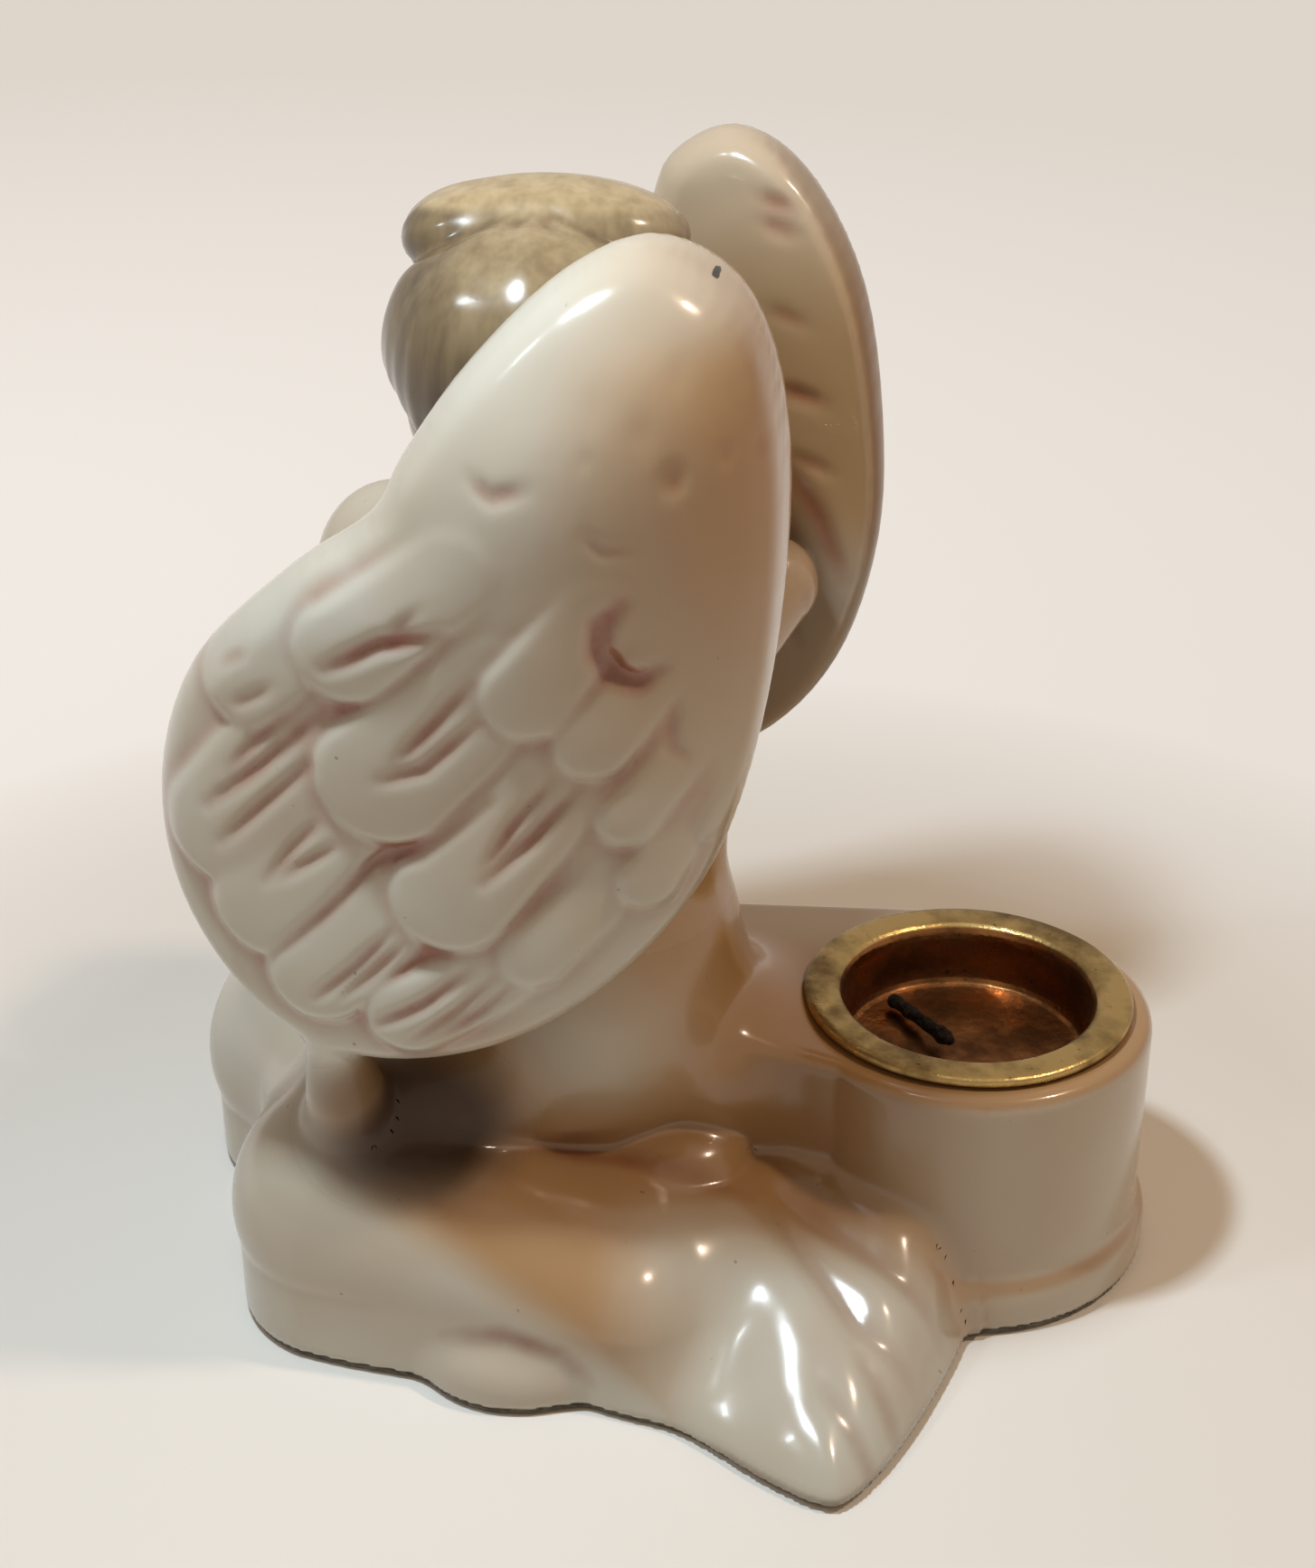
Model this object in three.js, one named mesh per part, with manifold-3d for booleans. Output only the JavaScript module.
// Kneeling angel candle holder: a glazed porcelain figure with two wings, a round
// candle socket behind it, a loose brass cup in the socket and felt under the base.
// Millimetres, +Z up. The figure faces -Y, its left side is +X.

import * as THREE from 'three';
import * as BufferGeometryUtils from 'three/addons/utils/BufferGeometryUtils.js';
import Module from 'manifold-3d';

const wasm = await Module();
wasm.setup();

// Candle cup, turned from thin brass
const CUP_BORE = 23.4;
const CUP_WALL = 0.7;
const CUP_DEPTH = 6.6;
const CUP_FLOOR = 0.9;
const FLANGE_D = 31;
const FLANGE_T = 0.9;
const SEAT_GAP = 0.3;

// Burnt stub of wick on the cup floor
const WICK_D = 1.5;
const WICK_L = 10.5;
const WICK_TILT = 5;
const WICK_TURN = -58;
const WICK_AT = [-2.2, -4.2];

// Socket block behind the figure
const SOCKET_Y = 29;
const BLOCK_TOP = 25.4;
const BLOCK_LEDGE = 1.9;
const BLOCK_EDGE = 1.3;
const BLOCK_FOOT_H = 4.2;
const BLOCK_FOOT_OUT = 1.0;

// Felt and the joints between the cast pieces
const FELT_T = 0.8;
const FELT_INSET = 0.4;
const JOINT = 0.3;

// Heights where the body was cut for casting
const WAIST_Z = 37;
const NECK_Z = 75;

// Body masses
const HIP = [0, -5.5, 28];
const HIP_SIZE = [15.8, 12.6, 15.5];
const HIP_FOOT = 19;
const CHEST = [0, -5, (WAIST_Z + NECK_Z) / 2 - 8];
const CHEST_SIZE = [12.5, 11.5, 20];
const SHOULDER = [0, -8, NECK_Z - 10];
const SHOULDER_SIZE = [15.5, 8.5, 8];
const NECK_R = 6.5;

// Left leg, on the side of the photograph, and the right one
const KNEE_L = [15.2, -27.6, 11.2];
const ANKLE_L = [24.5, -2, 6.4];
const CALF_L = [[16, -25, 10.8], [17, 4, 6.2]];
const CALF_R = [8.6, 7.6];
const THIGH_L = [[11.8, -25, 18], [5, -4, 24]];
const THIGH_L_R = 9;
const KNEE_R = [-9, -35, 12];
const ANKLE_R = [-20, -3, 9];
const HIP_R = [-9, -7, 24];
const KNEE_SIZE = 11.6;
const SHIN_SIZE = 7.2;
const THIGH_SIZE = 11.5;

// Gown stretched between the knees
const LAP = [[2.5, -29, 13], [0, -8, 22]];
const LAP_R = 9.5;
const LAP_FOOT = 16;

// Porcelain that fills in round the seat: under the thigh and against the socket block
const FILLS = [
  { at: [8.5, -4, 11.5], size: [7.5, 9, 4.5] },
  { at: [1.5, 6, 21], size: [10.5, 6.5, 7.5] },
];
const TUCK = { at: [10.8, 2, 14.6], size: [5.2, 6.2, 2.9] };
const LIP = { at: [25, -11.5, 2.2], size: [7.2, 9, 4.2] };

// Fanned hem behind the left leg: outline on the ground, its fall outwards, the creases
// that part its folds and the shallow valley beside the calf
const HEM_OUTLINE = [
  [22, -4], [30.3, -1.5], [34.8, 4.5], [39.4, 10.2], [42.6, 15.4], [42.2, 18.8],
  [36.9, 22.4], [28.6, 26.4], [18, 30], [8, 30], [4, 10], [10, -4],
];
const HEM_TOP = 13.6;
const HEM_ROOT_X = 13;
const HEM_FALL = 0.36;
const CREASES = [
  { line: [[15.5, 12], [19.7, 19.1], [25, 28.4]], half: 2.2, depth: 1.2 },
  { line: [[17.5, 11.5], [24.2, 16.9], [31, 25.4]], half: 2.2, depth: 1.3 },
  { line: [[29, 18.6], [34.2, 22.1], [37.4, 24.6]], half: 1.9, depth: 0.8 },
];
const VALLEY = { line: [[17.5, 3], [23.5, 3.8], [29.5, 6], [35, 8.5], [39.5, 10.5]], half: 4.3, depth: 2.5 };

// Head and hair
const HEAD = [0, -10.6, NECK_Z + 13.6];
const HEAD_SIZE = [13.6, 13, 11.4];
const FACE = [0, -13.2, NECK_Z + 5.5];
const FACE_SIZE = [9.5, 8.2, 9.5];
const ROLL = [-3.6, -9.9, NECK_Z + 21.8];
const ROLL_SIZE = [7.8, 11.9, 5];
const ROLL_END = [-3, -17, NECK_Z + 21.4];
const ROLL_END_SIZE = [5.6, 4.8, 3.6];

// Arms and clasped hands
const SHOULDER_X = 14;
const ELBOW = [15, -22, NECK_Z - 21];
const WRIST = [3.5, -26, NECK_Z - 11];
const ARM_R = 5;
const HANDS = [0, -24, NECK_Z - 6.6];
const HANDS_SIZE = [6, 6.6, 7.6];

// Wings: outline in side view (y, z), how far out they stand, and thickness
const WING_LEFT = [
  [1.2, 101.7], [8, 96.6], [11, 85.5], [10.4, 69], [6.9, 53.6], [0.8, 44.2], [-8.6, 36.8],
  [-18.2, 33.4], [-27, 33.4], [-34.6, 37.6], [-40.2, 46.4], [-40.9, 57], [-36.7, 68],
  [-27.9, 77], [-21, 82], [-18.4, 86.6], [-13.2, 93.6], [-5.8, 100.1],
];
const WING_RIGHT = [
  [5, 102.3], [11.6, 98.6], [17, 89], [19.2, 75], [18.8, 63.7], [15.6, 52.3], [9.5, 43.4],
  [0, 37], [-9, 33.6], [-18, 33.6], [-27, 39], [-31.5, 48], [-31, 58], [-27, 67.5],
  [-19, 76], [-12, 82], [-8, 87], [-3.4, 93.6], [-1, 99.4],
];
const WING_OUT = 24.5;
const WING_MID_Y = -14;
const WING_MID_Z = 66;
const WING_SPAN = 72;
const WING_SWELL = 7;
const WING_ARM_SWELL = 15;
const WING_ARM_Z = [66, 92];
const WING_ARM_T = 3.2;
const WING_ROWS = 34;
const WING_OUTER = 21;
const WING_INNER = 9;
const WING_RIGHT_BACK = 9;
const WING_T = 10.4;
const WING_TIP_T = 6.6;
const WING_INNER_SHARE = 0.8;
const WING_LEAN_Z = [72, 102];
const WING_LEAN_LEFT = 6;
const WING_LEAN_RIGHT = 1.5;
const WING_EDGE_R = 2;
const WING_REAR_REACH = 33;
const WING_FRONT_REACH = 40;

// Feathers of the outer face in side view: base, middle of the rounded end, half width, height
const FEATHERS = [
  [[-24, 77], [-31, 68.5], 4.4, 0.9],
  [[-25, 68], [-34.3, 54.8], 5.6, 1.1],
  [[-22, 61], [-31, 48.2], 5.2, 1.2],
  [[-17.5, 52], [-27, 42.2], 4.7, 1.2],
  [[-9, 45], [-19.3, 39.2], 4, 1.1],
  [[-2, 52], [-8.6, 45.4], 3.3, 0.9],
  [[-14, 79.5], [-22.8, 72.3], 4.5, 1.2],
  [[-11, 70], [-20.2, 61.5], 6.1, 1.4],
  [[-6, 62], [-15.2, 51], 5.4, 1.4],
  [[4, 64], [-1, 57.8], 2.8, 0.9],
  [[-3.5, 76], [-8.6, 69.2], 4, 1],
  [[1, 70.5], [-3.6, 64.9], 3.4, 1],
];
const FEATHER_STEP = 1.9;

// Root of each wing at the shoulder blade
const ROOT_OUT = [13, 66];
const ROOT_IN = [8.5, 1, 59];
const ROOT_Y = [4, 9];
const ROOT_R = 6;

// Short tie of porcelain between the left wing's tip and the knee
const TIE_TOP = [24, -27, 34];
const TIE_FOOT = [20.5, -27, 22];
const TIE_R = 2.5;

// Grid steps of the sculpted surfaces, and the shortest edge kept after a cut
const STEP_BODY = 3.5;
const STEP_FELT = 4.4;
const STEP_HEAD = 2.5;
const STEP_SMALL = 2.3;
const SHORT = 0.06;

// Rounded union and intersection of two distances
const blend = (a, b, k) => {
  const h = Math.max(k - Math.abs(a - b), 0) / k;
  return Math.min(a, b) - h * h * k * 0.25;
};
const crop = (a, b, k) => -blend(-a, -b, k);
const ease = (a, b, x) => {
  const t = Math.min(Math.max((x - a) / (b - a), 0), 1);
  return t * t * (3 - 2 * t);
};

// Distance to an ellipsoid, tipped about X by tilt degrees
function ellipsoid(c, r, tilt = 0) {
  const cos = Math.cos(THREE.MathUtils.degToRad(tilt));
  const sin = Math.sin(THREE.MathUtils.degToRad(tilt));
  return (x, y, z) => {
    const px = x - c[0];
    const py = (y - c[1]) * cos + (z - c[2]) * sin;
    const pz = (z - c[2]) * cos - (y - c[1]) * sin;
    const k0 = Math.hypot(px / r[0], py / r[1], pz / r[2]);
    const k1 = Math.hypot(px / r[0] ** 2, py / r[1] ** 2, pz / r[2] ** 2);
    return k0 * (k0 - 1) / Math.max(k1, 1e-6);
  };
}

// Distance to a limb: a rounded cone from a to b
function limb(a, b, r0, r1) {
  const d = [b[0] - a[0], b[1] - a[1], b[2] - a[2]];
  const len2 = d[0] ** 2 + d[1] ** 2 + d[2] ** 2;
  return (x, y, z) => {
    const px = x - a[0];
    const py = y - a[1];
    const pz = z - a[2];
    const h = Math.min(Math.max((px * d[0] + py * d[1] + pz * d[2]) / len2, 0), 1);
    return Math.hypot(px - h * d[0], py - h * d[1], pz - h * d[2]) - (r0 + (r1 - r0) * h);
  };
}

// The same form with what lies at height z0 carried straight down, drawn in at the ground
const standing = (form, z0, tuck = 0) => (x, y, z) =>
  form(x, y, Math.max(z, z0)) + tuck * Math.max(z0 - z, 0) ** 2;

const join = (k, ...forms) => (x, y, z) => forms.reduce((d, f) => blend(d, f(x, y, z), k), 1e3);

// Signed distance to a closed curve drawn through a few points, negative inside
function outline(points, steps) {
  const curve = new THREE.CatmullRomCurve3(points.map(([u, v]) => new THREE.Vector3(u, v, 0)), true);
  const ring = curve.getPoints(points.length * steps).slice(0, -1);
  return (u, v) => {
    let d2 = Infinity;
    let inside = false;
    ring.forEach((p, i) => {
      const q = ring[(i + 1) % ring.length];
      const ex = q.x - p.x;
      const ey = q.y - p.y;
      const t = Math.min(Math.max(((u - p.x) * ex + (v - p.y) * ey) / (ex * ex + ey * ey), 0), 1);
      d2 = Math.min(d2, (u - p.x - t * ex) ** 2 + (v - p.y - t * ey) ** 2);
      if ((p.y > v) !== (q.y > v) && u < p.x + (v - p.y) / ey * ex) inside = !inside;
    });
    return inside ? -Math.sqrt(d2) : Math.sqrt(d2);
  };
}

// Distance to a drawn line in a plane, and its strength, which fades towards both ends
function stroke(line) {
  const n = line.length - 1;
  return (u, v) => {
    let best = [Infinity, 0];
    for (let i = 0; i < n; i++) {
      const [du, dv] = [line[i + 1][0] - line[i][0], line[i + 1][1] - line[i][1]];
      const [pu, pv] = [u - line[i][0], v - line[i][1]];
      const t = Math.min(Math.max((pu * du + pv * dv) / (du * du + dv * dv), 0), 1);
      const d = Math.hypot(pu - t * du, pv - t * dv);
      const along = Math.min(Math.max((i + t) / n, 0.04), 0.96);
      if (d < best[0]) best = [d, Math.sqrt(Math.sin(Math.PI * along))];
    }
    return best;
  };
}

// Closed surface of the form where its distance is zero, on a grid of the given step:
// one vertex in each cell that the surface crosses, then drawn onto the surface
function surface(form, low, high, step) {
  const n = low.map((v, i) => Math.ceil((high[i] - v) / step) + 2);
  const at = (i, j, k) => (i * n[1] + j) * n[2] + k;
  const val = new Float64Array(n[0] * n[1] * n[2]);
  for (let i = 0; i < n[0]; i++) {
    for (let j = 0; j < n[1]; j++) {
      for (let k = 0; k < n[2]; k++) {
        const rim = [i, j, k].some((v, m) => v === 0 || v === n[m] - 1);
        const d = form(low[0] + i * step, low[1] + j * step, low[2] + k * step);
        val[at(i, j, k)] = rim ? Math.max(d, 0.1) : d;
      }
    }
  }
  const cell = new Map();
  const verts = [];
  const corner = [0, 1, 2, 3, 4, 5, 6, 7].map((c) => [c & 1, (c >> 1) & 1, c >> 2]);
  const vertex = (i, j, k) => {
    const key = at(i, j, k);
    if (cell.has(key)) return cell.get(key);
    const sum = [0, 0, 0];
    let hits = 0;
    for (const a of corner) {
      for (let axis = 0; axis < 3; axis++) {
        if (a[axis]) continue;
        const b = a.map((v, m) => (m === axis ? 1 : v));
        const fa = val[at(i + a[0], j + a[1], k + a[2])];
        const fb = val[at(i + b[0], j + b[1], k + b[2])];
        if ((fa < 0) === (fb < 0)) continue;
        const t = fa / (fa - fb);
        for (let m = 0; m < 3; m++) sum[m] += a[m] + (m === axis ? t : 0);
        hits++;
      }
    }
    let p = [i, j, k].map((v, m) => low[m] + (v + sum[m] / hits) * step);
    for (let pass = 0; pass < 2; pass++) {
      const e = 0.02;
      const f = form(...p);
      if (Math.abs(f) > step) break;
      const g = [0, 1, 2].map((m) => (form(...p.map((v, q) => v + (q === m ? e : 0))) - f) / e);
      const g2 = Math.max(g[0] ** 2 + g[1] ** 2 + g[2] ** 2, 0.2);
      const move = Math.min(Math.max(f / g2, -0.3 * step), 0.3 * step);
      p = p.map((v, m) => v - g[m] * move);
    }
    cell.set(key, verts.length / 3);
    verts.push(...p);
    return cell.get(key);
  };
  const tris = [];
  for (let i = 0; i < n[0] - 1; i++) {
    for (let j = 0; j < n[1] - 1; j++) {
      for (let k = 0; k < n[2] - 1; k++) {
        const here = val[at(i, j, k)] < 0;
        const sides = [
          [val[at(i + 1, j, k)] < 0, [[0, 0, 0], [0, -1, 0], [0, -1, -1], [0, 0, -1]]],
          [val[at(i, j + 1, k)] < 0, [[0, 0, 0], [0, 0, -1], [-1, 0, -1], [-1, 0, 0]]],
          [val[at(i, j, k + 1)] < 0, [[0, 0, 0], [-1, 0, 0], [-1, -1, 0], [0, -1, 0]]],
        ];
        for (const [there, quad] of sides) {
          if (here === there) continue;
          const q = quad.map(([a, b, c]) => vertex(i + a, j + b, k + c));
          if (!here) q.reverse();
          const apart = (a, b) => Math.hypot(...[0, 1, 2].map((m) => verts[3 * a + m] - verts[3 * b + m]));
          const cross = [apart(q[0], q[2]), apart(q[1], q[3])];
          if (cross[1] < cross[0]) q.push(q.shift());
          tris.push(q[0], q[1], q[2], q[0], q[2], q[3]);
        }
      }
    }
  }
  return new wasm.Manifold(new wasm.Mesh({
    numProp: 3,
    vertProperties: new Float32Array(verts),
    triVerts: new Uint32Array(tris),
  }));
}

// Conversions between three.js geometry and solids
function solid(geometry) {
  const g = geometry.clone();
  g.deleteAttribute('normal');
  g.deleteAttribute('uv');
  const m = BufferGeometryUtils.mergeVertices(g, 1e-4);
  return new wasm.Manifold(new wasm.Mesh({
    numProp: 3,
    vertProperties: new Float32Array(m.attributes.position.array),
    triVerts: new Uint32Array(m.index.array),
  }));
}
function geometryOf(body) {
  const m = body.getMesh();
  const g = new THREE.BufferGeometry();
  const pos = new Float32Array(m.vertProperties);
  const index = collapsed(pos, m.triVerts);
  parted(pos, index);
  g.setAttribute('position', new THREE.BufferAttribute(pos, 3));
  g.setIndex(index);
  return g.toNonIndexed();
}

// Where two folds of the surface touch in a point, each is drawn in a hair from the other
function parted(pos, index) {
  const used = [...new Set(index)];
  const spot = (v) => [0, 1, 2].map((m) => Math.round(pos[3 * v + m] * 500)).join();
  const seen = new Map();
  used.forEach((v) => seen.set(spot(v), [...(seen.get(spot(v)) || []), v]));
  for (const twins of seen.values()) {
    if (twins.length < 2) continue;
    for (const v of twins) {
      const normal = new THREE.Vector3();
      for (let t = 0; t < index.length; t += 3) {
        const tri = index.slice(t, t + 3);
        if (!tri.includes(v)) continue;
        const [a, b, c] = tri.map((w) => new THREE.Vector3(...pos.slice(3 * w, 3 * w + 3)));
        normal.add(b.sub(a).cross(c.sub(a)));
      }
      normal.normalize().toArray().forEach((n, m) => (pos[3 * v + m] -= n * SHORT / 2));
    }
  }
}

// Triangles of the largest connected part, with edges under SHORT drawn to one point
function collapsed(pos, index) {
  let tris = [];
  for (let t = 0; t < index.length; t += 3) tris.push([index[t], index[t + 1], index[t + 2]]);
  const around = new Map();
  const link = (v, tri) => (around.get(v) || around.set(v, new Set()).get(v)).add(tri);
  tris.forEach((tri) => tri.forEach((v) => link(v, tri)));
  const ring = (v) => new Set([...around.get(v)].flat().filter((w) => w !== v));
  const span = (a, b) => Math.hypot(...[0, 1, 2].map((m) => pos[3 * a + m] - pos[3 * b + m]));
  for (const tri of tris) {
    for (let e = 0; e < 3; e++) {
      const [a, b] = [tri[e], tri[(e + 1) % 3]];
      if (a === b || span(a, b) > SHORT) continue;
      const ringA = ring(a);
      if ([...ring(b)].filter((v) => ringA.has(v)).length !== 2) continue;
      for (const other of [...around.get(b)]) {
        around.get(b).delete(other);
        other[other.indexOf(b)] = a;
        if (new Set(other).size < 3) other.forEach((v) => around.get(v).delete(other));
        else link(a, other);
      }
    }
  }
  tris = tris.filter((tri) => new Set(tri).size === 3);
  const part = new Map();
  const groups = [];
  for (const start of tris) {
    if (part.has(start[0])) continue;
    const stack = [start[0]];
    part.set(start[0], groups.length);
    while (stack.length) {
      for (const v of ring(stack.pop())) {
        if (!part.has(v)) stack.push(v);
        if (!part.has(v)) part.set(v, groups.length);
      }
    }
    groups.push(tris.filter((tri) => part.get(tri[0]) === groups.length));
  }
  return groups.sort((a, b) => b.length - a.length)[0].flat();
}

// Flat block between two heights, wider than the figure
function slab(z0, z1) {
  const g = new THREE.BoxGeometry(4 * WING_SPAN, 4 * WING_SPAN, z1 - z0);
  g.translate(0, 0, (z0 + z1) / 2);
  return solid(g);
}

// Legs folded under the body, each a shin and a thigh; the left calf is the broader one
const shin = (knee, ankle) => standing(limb(knee, ankle, KNEE_SIZE, SHIN_SIZE), 8, 0.03);
const rightThigh = limb([KNEE_R[0] + 1, KNEE_R[1] + 2, KNEE_R[2] + 6], HIP_R, KNEE_SIZE - 0.6, THIGH_SIZE);
const rightLeg = () => join(3, shin(KNEE_R, ANKLE_R), rightThigh);
function leftLeg() {
  const inner = standing(limb(CALF_L[0], CALF_L[1], CALF_R[0], CALF_R[1]), 8, 0.03);
  const calf = join(5, shin(KNEE_L, ANKLE_L), inner);
  return join(1.6, calf, limb(THIGH_L[0], THIGH_L[1], THIGH_L_R, THIGH_L_R));
}

// Fan of folds behind the left leg: a falling slab, parted by creases, with a shallow valley
function hem() {
  const edge = outline(HEM_OUTLINE, 4);
  const cuts = [...CREASES, VALLEY].map((c) => ({ ...c, near: stroke(c.line) }));
  return (x, y, z) => {
    let top = HEM_TOP - HEM_FALL * (x - HEM_ROOT_X);
    for (const cut of cuts) {
      const [d, strength] = cut.near(x, y);
      top -= cut.depth * strength * Math.exp(-((d / cut.half) ** 2));
    }
    return crop((z - top) * 0.94, edge(x, y) + 0.4 * Math.max(z, 0), 4.2);
  };
}

// Hips, legs, hem and the low lip under the left shin
function lowerForm() {
  const legs = join(4, leftLeg(), rightLeg());
  const hips = join(6, standing(ellipsoid(HIP, HIP_SIZE), HIP_FOOT), ellipsoid(CHEST, CHEST_SIZE, -4));
  const lap = standing(limb(LAP[0], LAP[1], LAP_R, LAP_R), LAP_FOOT);
  const fills = FILLS.map((f) => ellipsoid(f.at, f.size));
  const seat = join(4.5, join(4, legs, hips, lap), hem(), ...fills);
  return join(1.5, seat, standing(ellipsoid(LIP.at, LIP.size), LIP.at[2]), ellipsoid(TUCK.at, TUCK.size));
}

// Chest and shoulders up to the neck
function torsoForm() {
  const trunk = join(6, ellipsoid(HIP, HIP_SIZE), ellipsoid(CHEST, CHEST_SIZE, -4));
  const neck = limb([0, SHOULDER[1], SHOULDER[2]], [0, HEAD[1], HEAD[2]], NECK_R + 1, NECK_R);
  return join(5, trunk, ellipsoid(SHOULDER, SHOULDER_SIZE), neck);
}

// Bowed head with the hair in two tiers: a full lower mass and a roll along the crown
function headForm() {
  const neck = limb([0, SHOULDER[1], SHOULDER[2]], [0, HEAD[1], HEAD[2]], NECK_R + 1, NECK_R);
  const skull = join(3, ellipsoid(HEAD, HEAD_SIZE), ellipsoid(FACE, FACE_SIZE, 20), neck);
  return join(1, skull, join(2, ellipsoid(ROLL, ROLL_SIZE), ellipsoid(ROLL_END, ROLL_END_SIZE)));
}

// Arm from the shoulder down to the elbow and up to the hands
function armForm(side) {
  const [shoulder, elbow, wrist] = ARM_LINE.map(([x, y, z]) => [side * x, y, z]);
  return join(2, limb(shoulder, elbow, ARM_R, ARM_R - 0.4), limb(elbow, wrist, ARM_R - 0.4, ARM_R - 0.8));
}
const handsForm = () => ellipsoid(HANDS, HANDS_SIZE, -15);

// Height of the feathers at a point of the outer face: rounded ends that overlap downwards
function feathers(y, z) {
  return FEATHERS.reduce((high, [base, end, r, h]) => {
    const [dy, dz] = [end[0] - base[0], end[1] - base[1]];
    const t = ((y - base[0]) * dy + (z - base[1]) * dz) / (dy * dy + dz * dz);
    const s = Math.min(Math.max(t, 0), 1);
    const d = Math.hypot(y - base[0] - s * dy, z - base[1] - s * dz) - r * (0.8 + 0.2 * s);
    return Math.max(high, h * (0.18 + 0.82 * ease(-0.2, 1, t)) * ease(0.6, 0.6 - FEATHER_STEP, d));
  }, 0);
}

// Wing: sections across its length, from the lower tip to the top, on a plate that bends
// round the body; each runs over the outer face and back over the inner one
function wingSolid(side, points, back, grow = 0) {
  const distance = outline(points, 5);
  const up = new THREE.Vector2(0.45, 0.89).normalize();
  const over = new THREE.Vector2(up.y, -up.x);
  const curve = new THREE.CatmullRomCurve3(points.map(([y, z]) => new THREE.Vector3(y, z, 0)), true);
  const rim = curve.getPoints(12 * points.length)
    .map((p) => [p.x * up.x + p.y * up.y, p.x * over.x + p.y * over.y]);
  const ends = [Math.min(...rim.map((p) => p[0])) - grow, Math.max(...rim.map((p) => p[0])) + grow];
  const rear = Math.max(...points.map((p) => p[0]));
  const top = Math.max(...points.map((p) => p[1]));
  const mid = new THREE.Vector2(WING_MID_Y + back / 2, WING_MID_Z);
  const bow = (y) => {
    const v = y - back - WING_MID_Y;
    const a = v / (v > 0 ? WING_REAR_REACH : WING_FRONT_REACH);
    return WING_OUT * Math.sqrt(Math.max(1 - a * a, 0.05));
  };
  const lean = (z) => (side > 0 ? WING_LEAN_LEFT : WING_LEAN_RIGHT)
    * (Math.max(z - WING_LEAN_Z[0], 0) / (WING_LEAN_Z[1] - WING_LEAN_Z[0])) ** 2;
  const plate = (y, z) => bow(y) - lean(z);
  const rounded = (inset, reach) => Math.sqrt(1 - (1 - Math.min(Math.max(inset / reach, 0), 1)) ** 2);
  // Half thickness: the rounded arm runs along the leading edge, where the face swells more slowly
  const half = (y, z, lift) => {
    const inset = Math.max(grow - distance(y, z), 0);
    const along = ((rear - 6 - y) * 0.45 + (top - 3 - z) * 0.89) / WING_SPAN;
    const full = (WING_T + (WING_TIP_T - WING_T) * ease(0.2, 0.8, along)) / 2
      + WING_ARM_T * ease(...WING_ARM_Z, z);
    const out = new THREE.Vector2(y, z).sub(mid).normalize();
    const ahead = ease(0, 0.8, out.y * 0.62 - out.x * 0.78) * ease(60, 80, z);
    const face = (full * (lift < 0 ? WING_INNER_SHARE : 1) - WING_EDGE_R)
      * rounded(inset, WING_SWELL + (WING_ARM_SWELL - WING_SWELL) * ahead);
    const feather = lift > 0 ? feathers(y - back * ease(100, 55, z), z) * ease(0.4, 2.6, inset) : 0;
    return (WING_EDGE_R + grow + face + feather) * rounded(inset, WING_EDGE_R);
  };
  const verts = [];
  const put = (s, t, lift) => {
    const [y, z] = [s * up.x + t * over.x, s * up.y + t * over.y];
    const slope = (plate(y + 0.05, z) - plate(y - 0.05, z)) / 0.1;
    const rise = (plate(y, z + 0.05) - plate(y, z - 0.05)) / 0.1;
    const off = half(y, z, lift) * lift / Math.hypot(1, slope, rise);
    verts.push(side * (plate(y, z) + off), y - slope * off, z - rise * off);
  };
  const crossing = (s) => rim.slice(1).flatMap(([s1, t1], i) => {
    const [s0, t0] = rim[i];
    return (s0 > s) === (s1 > s) ? [] : [t0 + (t1 - t0) * (s - s0) / (s1 - s0)];
  });
  const section = (s) => {
    const t = crossing(Math.min(Math.max(s, ends[0] + grow + 0.05), ends[1] - grow - 0.05));
    const centre = (Math.max(...t) + Math.min(...t)) / 2;
    const reach = Math.max(...t) - centre + grow;
    for (let i = 0; i < WING_OUTER; i++) put(s, centre - reach * Math.cos(Math.PI * i / WING_OUTER), 1);
    for (let i = 0; i < WING_INNER; i++) put(s, centre + reach * Math.cos(Math.PI * i / WING_INNER), -1);
    return centre;
  };
  const turn = (k) => Math.PI * (0.07 + 0.86 * k / WING_ROWS);
  const place = (k) => (ends[0] + ends[1] - (ends[1] - ends[0]) * Math.cos(turn(k))) / 2;
  const centres = [];
  for (let k = 0; k <= WING_ROWS; k++) centres.push(section(place(k)));
  put(ends[0], centres[0], 1);
  put(ends[1], centres.at(-1), 1);
  const n = WING_OUTER + WING_INNER;
  const [first, last] = [verts.length / 3 - 2, verts.length / 3 - 1];
  const tris = [];
  for (let i = 0; i < n; i++) {
    const j = (i + 1) % n;
    tris.push([first, j, i], [last, n * WING_ROWS + i, n * WING_ROWS + j]);
    for (let r = 0; r < WING_ROWS * n; r += n) {
      tris.push([r + i, r + j, r + n + j], [r + i, r + n + j, r + n + i]);
    }
  }
  // The right wing is a mirror image, so its faces are turned over
  if (side < 0) tris.forEach((t) => t.reverse());
  return new wasm.Manifold(new wasm.Mesh({
    numProp: 3,
    vertProperties: new Float32Array(verts),
    triVerts: new Uint32Array(tris.flat()),
  }));
}

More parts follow.
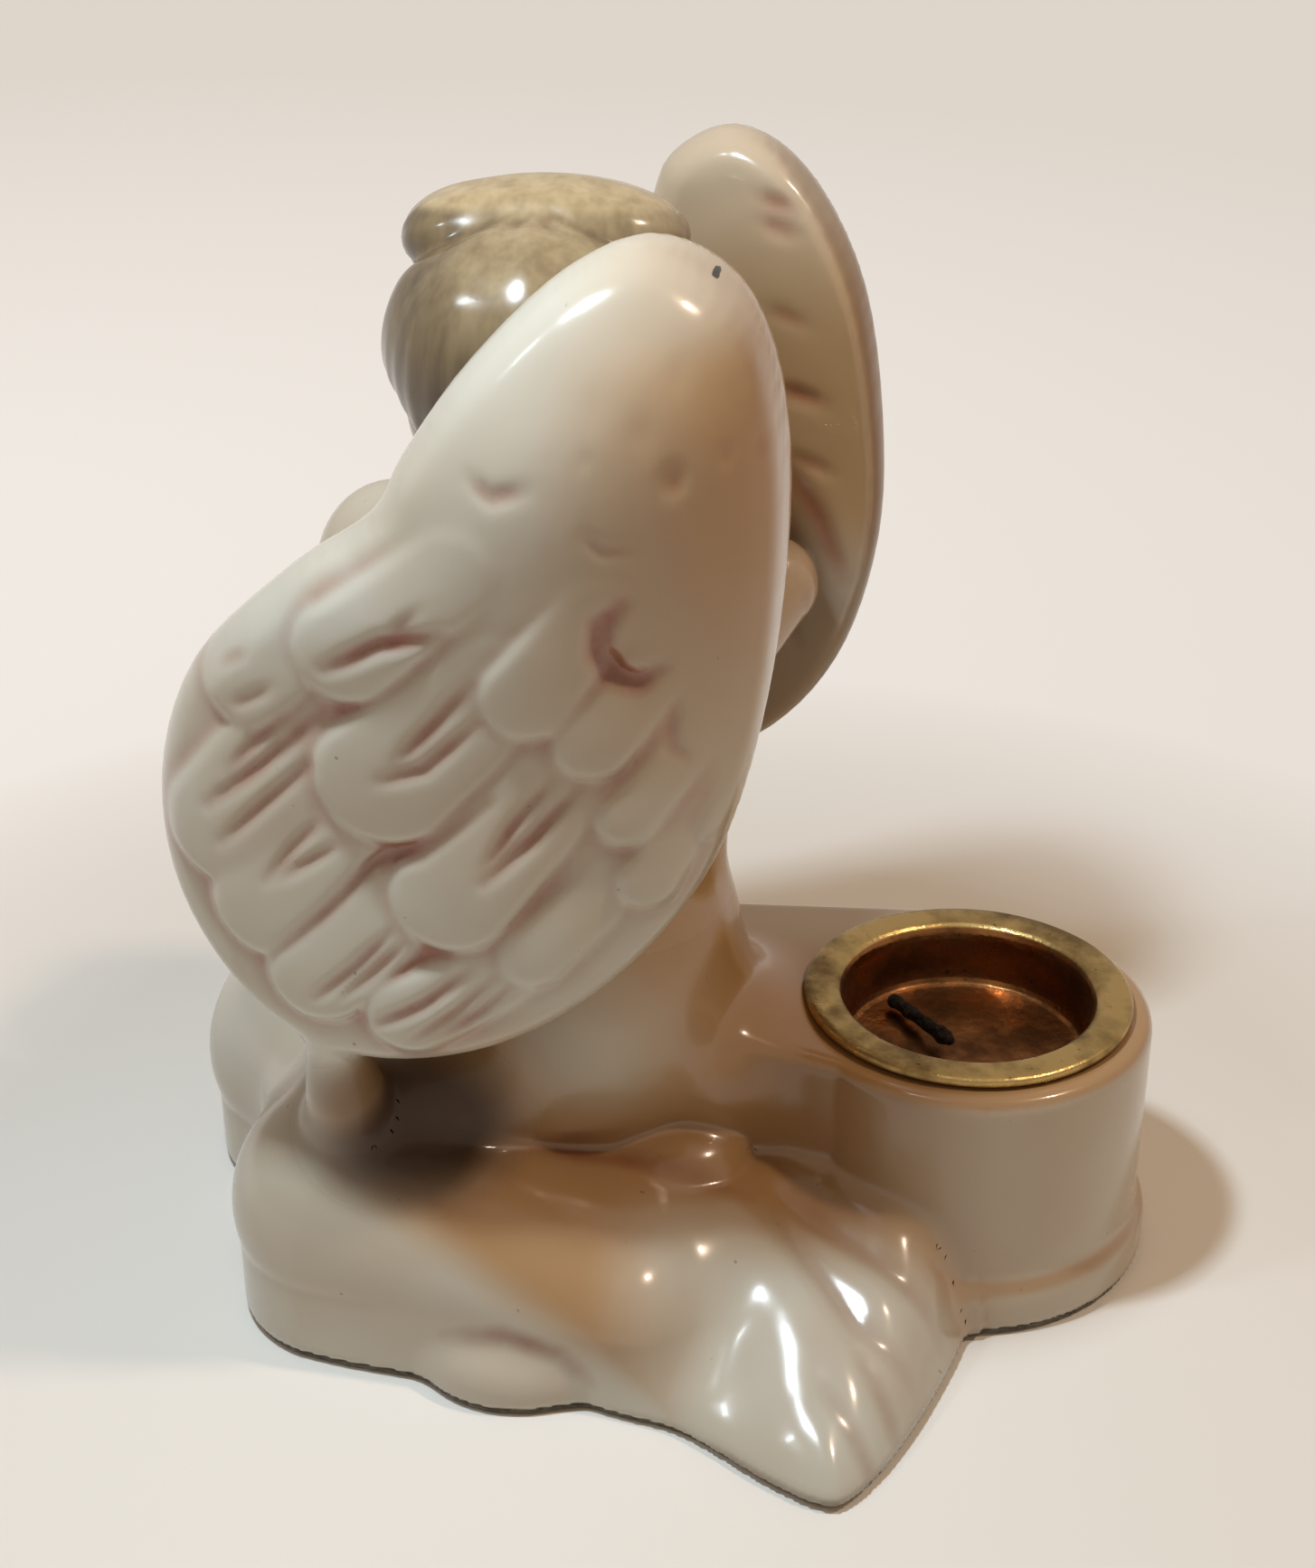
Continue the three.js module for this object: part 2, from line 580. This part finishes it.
// Socket block: walls run from the hips and end round about the cup
const ROUND_R = FLANGE_D / 2 + BLOCK_LEDGE;
function blockShape(grow) {
  const r = ROUND_R + grow;
  const near = [[4, -3], [8.4, 1], [10.4, 3.6], [13.6, 9.5], [16.3, 19]];
  const shape = new THREE.Shape();
  shape.moveTo(-r, -3);
  near.forEach(([x, y]) => shape.lineTo(x + grow, y));
  shape.absarc(0, SOCKET_Y, r, THREE.MathUtils.degToRad(-12), Math.PI, false);
  shape.closePath();
  return shape;
}
function blockBody(grow) {
  const z0 = FELT_T + JOINT;
  const sweep = (out, depth) => new THREE.ExtrudeGeometry(blockShape(out), {
    depth,
    curveSegments: 26,
    bevelThickness: BLOCK_EDGE,
    bevelSize: BLOCK_EDGE,
    bevelOffset: -BLOCK_EDGE,
    bevelSegments: 2,
  });
  const wall = sweep(grow, BLOCK_TOP + grow - z0 - 2 * BLOCK_EDGE + 4);
  wall.translate(0, 0, z0 + BLOCK_EDGE - 4);
  const foot = sweep(grow + BLOCK_FOOT_OUT, BLOCK_FOOT_H);
  foot.translate(0, 0, z0 - BLOCK_EDGE);
  return solid(wall).add(solid(foot)).intersect(slab(z0 - grow, BLOCK_TOP + grow));
}
function socketBlock() {
  const r = CUP_BORE / 2 + CUP_WALL + SEAT_GAP;
  const depth = CUP_DEPTH + CUP_FLOOR - FLANGE_T + SEAT_GAP;
  const hole = new THREE.CylinderGeometry(r, r, depth * 2, 48);
  hole.rotateX(Math.PI / 2);
  hole.translate(0, SOCKET_Y, BLOCK_TOP);
  return blockBody(0).subtract(solid(hole));
}

// Brass cup: a flange with a rolled inner lip over a short straight cup, closed below
const RIM_Z = BLOCK_TOP + JOINT + FLANGE_T;
function cupGeometry() {
  const bore = CUP_BORE / 2;
  const outer = bore + CUP_WALL;
  const under = RIM_Z - FLANGE_T;
  const floor = RIM_Z - CUP_DEPTH;
  const profile = [
    [0, floor - CUP_FLOOR], [outer - 1, floor - CUP_FLOOR], [outer, floor - CUP_FLOOR + 1], [outer, under],
    [FLANGE_D / 2 - 0.2, under], [FLANGE_D / 2, under + 0.2], [FLANGE_D / 2, RIM_Z - 0.35],
    [FLANGE_D / 2 - 0.35, RIM_Z], [bore + 1.2, RIM_Z], [bore + 0.45, RIM_Z - 0.3], [bore + 0.1, RIM_Z - 0.9],
    [bore, RIM_Z - 1.6], [bore, floor + 0.8], [bore - 0.8, floor], [0, floor],
  ].map(([r, z]) => new THREE.Vector2(r, z));
  const g = new THREE.LatheGeometry(profile, 38);
  g.rotateX(Math.PI / 2);
  return g;
}

// Wick stub: a short charred rod with a thicker burnt end
function wickGeometry() {
  const r = WICK_D / 2;
  const profile = [
    [0, -WICK_L / 2], [r * 0.7, -WICK_L / 2 + 0.2], [r, -WICK_L / 2 + 1], [r * 0.85, WICK_L / 5],
    [r, WICK_L / 2 - 1.6], [r * 0.8, WICK_L / 2 - 0.3], [0, WICK_L / 2],
  ].map(([a, b]) => new THREE.Vector2(a, b));
  return new THREE.LatheGeometry(profile, 8);
}

// Cast pieces, each cut clear of the one that it is joined to
const ground = FELT_T + JOINT;
const grown = (form) => (x, y, z) => form(x, y, z) - JOINT;
const around = (r, ...points) => [
  [0, 1, 2].map((m) => Math.min(...points.map((p) => p[m])) - r),
  [0, 1, 2].map((m) => Math.max(...points.map((p) => p[m])) + r),
];
const below = (z, [low, high]) => [[low[0], low[1], z], high];
const ARM_LINE = [[SHOULDER_X, SHOULDER[1] - 1, SHOULDER[2] + 1], ELBOW, WRIST];
const SIDE_L = HEM_OUTLINE.map(([x, y]) => [x, y, WAIST_Z]);
const LOWER_REACH = [...SIDE_L, [...KNEE_L], [KNEE_R[0], KNEE_R[1] - 6, WAIST_Z], [ANKLE_R[0] - 4, 0, 0]];
const boxes = {
  lower: below(-2 * STEP_BODY, around(KNEE_SIZE, ...LOWER_REACH)),
  torso: around(SHOULDER_SIZE[1], [SHOULDER_SIZE[0] - 4, -13, WAIST_Z], [4 - SHOULDER_SIZE[0], 7, NECK_Z]),
  head: around(HEAD_SIZE[0] + 3, [HEAD[0], HEAD[1], NECK_Z + 6], [HEAD[0], HEAD[1], HEAD[2] + 4]),
  root: (ends) => around(ROOT_R + 3, ...ends),
  tie: around(2 * TIE_R, TIE_TOP, TIE_FOOT),
  felt: below(-STEP_FELT, around(KNEE_SIZE, ...LOWER_REACH.map(([x, y]) => [x, y, FELT_T - STEP_FELT]))),
  arm: (side) => around(ARM_R + 3, ...ARM_LINE.map(([x, y, z]) => [side * x, y, z])),
  hands: around(HANDS_SIZE[2] + 2, HANDS),
};
const headSolid = surface(headForm(), ...boxes.head, STEP_HEAD).intersect(slab(NECK_Z + JOINT, 2 * NECK_Z));
const headGrown = surface(grown(headForm()), ...boxes.head, STEP_HEAD);
const torsoGrown = surface(grown(torsoForm()), ...boxes.torso, STEP_BODY);
const torsoSolid = surface(torsoForm(), ...boxes.torso, STEP_BODY).intersect(slab(WAIST_Z + JOINT, NECK_Z));
const lowerGrown = surface(grown(lowerForm()), ...boxes.lower, STEP_BODY);
const lowerSolid = surface(lowerForm(), ...boxes.lower, STEP_BODY)
  .intersect(slab(ground, WAIST_Z)).subtract(blockBody(JOINT));
const handsSolid = surface(handsForm(), ...boxes.hands, STEP_SMALL).subtract(headGrown);
const handsGrown = surface(grown(handsForm()), ...boxes.hands, STEP_SMALL);
function root(side, y) {
  const ends = [[side * ROOT_OUT[0], y, ROOT_OUT[1]], [side * ROOT_IN[0], ROOT_IN[1], ROOT_IN[2]]];
  return surface(limb(...ends, ROOT_R, ROOT_R + 0.5), ...boxes.root(ends), STEP_SMALL);
}
const tie = surface(limb(TIE_TOP, TIE_FOOT, TIE_R, TIE_R * 1.25), ...boxes.tie, STEP_SMALL);
const cutClear = (body) => body.subtract(torsoGrown).subtract(lowerGrown).subtract(headGrown);
const leftWing = cutClear(wingSolid(1, WING_LEFT, 0).add(root(1, ROOT_Y[0])).add(tie));
const rightWing = cutClear(wingSolid(-1, WING_RIGHT, WING_RIGHT_BACK).add(root(-1, ROOT_Y[1])));
const arm = (side, wingGrown) => surface(armForm(side), ...boxes.arm(side), STEP_SMALL)
  .subtract(torsoGrown).subtract(handsGrown).subtract(headGrown).subtract(wingGrown);
const leftArm = arm(1, wingSolid(1, WING_LEFT, 0, JOINT));
const rightArm = arm(-1, wingSolid(-1, WING_RIGHT, WING_RIGHT_BACK, JOINT));

// Felt cut to the footprint, a little inside the porcelain
function feltSolid() {
  const lower = lowerForm();
  const print = (x, y) => lower(x, y, ground + 0.1) + FELT_INSET;
  const shape = blockShape(BLOCK_FOOT_OUT - FELT_INSET - BLOCK_EDGE / 2);
  const block = new THREE.ExtrudeGeometry(shape, { depth: 12, curveSegments: 26, bevelEnabled: false });
  block.translate(0, 0, -6);
  return surface(print, ...boxes.felt, STEP_FELT).add(solid(block)).intersect(slab(0, FELT_T));
}

// Materials
const glaze = (color) => new THREE.MeshStandardMaterial({ color, roughness: 0.18, metalness: 0 });
const white = glaze(0xd6cdbd);
const robe = glaze(0xc9c3b4);
const hair = glaze(0xa79a82);
const brass = new THREE.MeshStandardMaterial({ color: 0xa88a48, roughness: 0.35, metalness: 1 });
const char = new THREE.MeshStandardMaterial({ color: 0x14110f, roughness: 0.95, metalness: 0 });
const felt = new THREE.MeshStandardMaterial({ color: 0x5d584f, roughness: 0.95, metalness: 0 });

function piece(name, geometry, material) {
  const mesh = new THREE.Mesh(geometry, material);
  mesh.name = name;
  return mesh;
}

const figure = new THREE.Group();
figure.add(piece('felt_pad', geometryOf(feltSolid()), felt));
figure.add(piece('lower_body', geometryOf(lowerSolid), robe));
figure.add(piece('socket_block', geometryOf(socketBlock()), robe));
figure.add(piece('torso', geometryOf(torsoSolid), white));
figure.add(piece('head', geometryOf(headSolid), hair));
figure.add(piece('clasped_hands', geometryOf(handsSolid), white));
figure.add(piece('left_arm', geometryOf(leftArm), white));
figure.add(piece('right_arm', geometryOf(rightArm), white));
figure.add(piece('left_wing', geometryOf(leftWing), white));
figure.add(piece('right_wing', geometryOf(rightWing), white));

const cup = new THREE.Group();
cup.position.set(0, SOCKET_Y, 0);
cup.add(piece('brass_cup', cupGeometry(), brass));
const wick = piece('wick_stub', wickGeometry(), char);
const tilt = THREE.MathUtils.degToRad(WICK_TILT);
wick.rotation.set(tilt, 0, THREE.MathUtils.degToRad(WICK_TURN), 'ZYX');
wick.position.set(...WICK_AT, RIM_Z - CUP_DEPTH + JOINT + WICK_D / 2 + Math.sin(tilt) * WICK_L / 2);
cup.add(wick);
figure.add(cup);

export default figure;
